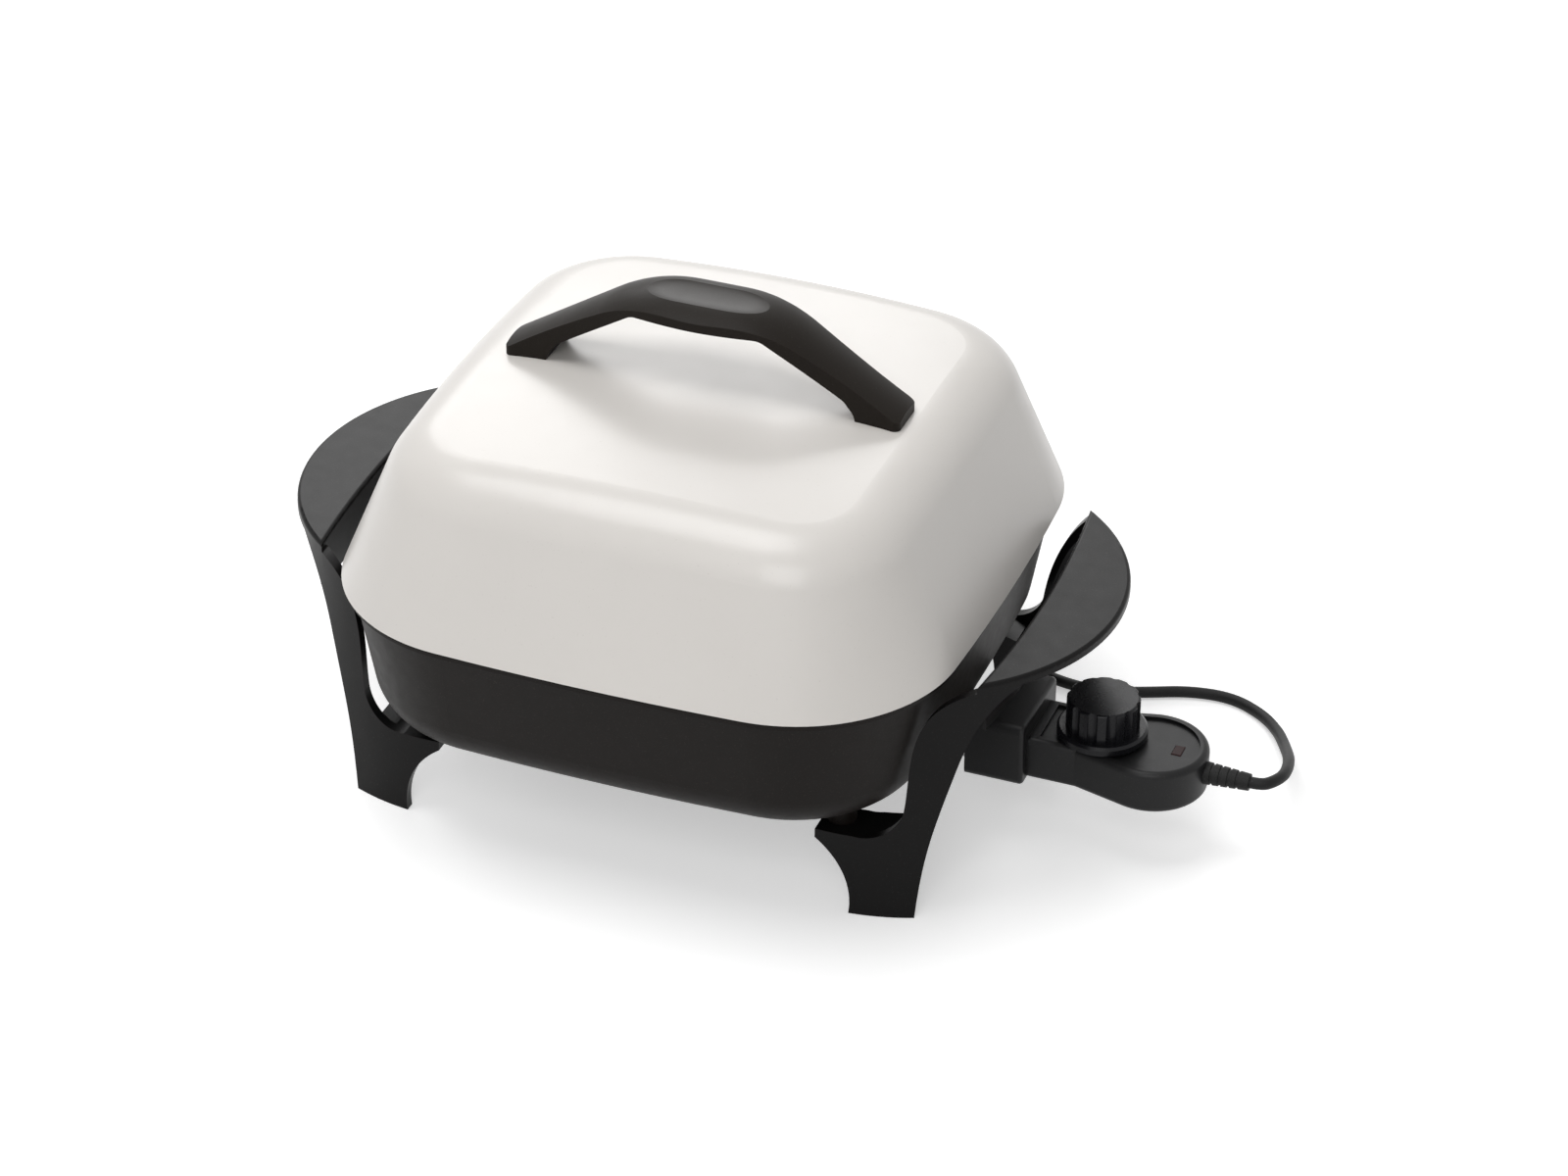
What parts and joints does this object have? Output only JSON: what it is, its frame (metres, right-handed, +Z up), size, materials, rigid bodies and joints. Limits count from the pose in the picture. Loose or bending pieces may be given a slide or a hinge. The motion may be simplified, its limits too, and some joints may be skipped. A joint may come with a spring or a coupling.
{
  "type": "electric skillet",
  "caption": "Square electric skillet with a lift-off high-dome lid, side handles that form the legs, and a plug-in heat control with dial and cord.",
  "frame": {"origin": "on the table, under the middle of the pan", "axes": "+X towards the side that the heat control plugs into, -Y the front, +Z up"},
  "size_m": [0.4814, 0.3452, 0.2437],
  "materials": {
    "lid_enamel": "bone-coloured satin enamel on pressed aluminium",
    "pan_coating": "near-black satin non-stick coating on cast aluminium",
    "handle_moulding": "black satin heat-resistant plastic",
    "lid_handle_moulding": "dark charcoal satin heat-resistant plastic",
    "control_moulding": "black satin heat-resistant plastic",
    "dial_plastic": "black plastic, slightly glossy",
    "cord_jacket": "black matt cord jacket",
    "element_sheath": "drawn steel sheath",
    "steel_sheet": "plain steel",
    "screw_steel": "zinc-plated steel",
    "plated_metal": "bright nickel plating",
    "contact_brass": "brass",
    "ceramic": "white glazed ceramic",
    "wire_sleeving": "woven glass sleeving",
    "lamp_glass": "clear glass",
    "lens_plastic": "dark red translucent plastic, unlit"
  },
  "bodies": {
    "base": {"pan": "pan_coating", "heating_element": "element_sheath", "terminal_pins": "plated_metal", "pin_insulators": "ceramic", "terminal_guard": "steel_sheet", "guard_screws": "screw_steel", "right_handle_leg": "handle_moulding", "left_handle_leg": "handle_moulding", "leg_washers": "screw_steel", "leg_screws": "screw_steel"},
    "lid": {"lid_shell": "lid_enamel", "lid_handle": "lid_handle_moulding", "lid_handle_washers": "screw_steel", "lid_handle_screws": "screw_steel"},
    "heat_control": {"contact_block": "control_moulding", "female_contacts": "contact_brass", "sensor_tube": "plated_metal", "sensor_rod": "steel_sheet", "control_upper_housing": "control_moulding", "control_lower_housing": "control_moulding", "housing_screws": "screw_steel", "switch_bracket": "steel_sheet", "leaf_insulator": "ceramic", "fixed_leaf": "contact_brass", "moving_leaf": "contact_brass", "contact_points": "plated_metal", "lead_wires": "wire_sleeving", "pilot_lamp": "lamp_glass", "pilot_lens": "lens_plastic", "strain_relief": "cord_jacket", "cord": "cord_jacket", "cord_coil": "cord_jacket", "cord_tail": "cord_jacket", "plug_body": "cord_jacket", "plug_blades": "contact_brass"},
    "dial": {"dial_knob": "dial_plastic", "dial_shaft": "plated_metal"}
  },
  "joints": [
    {"name": "lid_lift", "type": "slide", "parent": "base", "child": "lid", "axis": [0, 0, 1], "range_m": [0, 0.12]},
    {"name": "control_pull", "type": "slide", "parent": "base", "child": "heat_control", "axis": [1, 0, 0], "range_m": [0, 0.095]},
    {"name": "dial_turn", "type": "hinge", "parent": "heat_control", "child": "dial", "pos_m": [0.195, 0, 0.057], "axis": [0, 0, -1], "range_deg": [0, 270]}
  ]
}
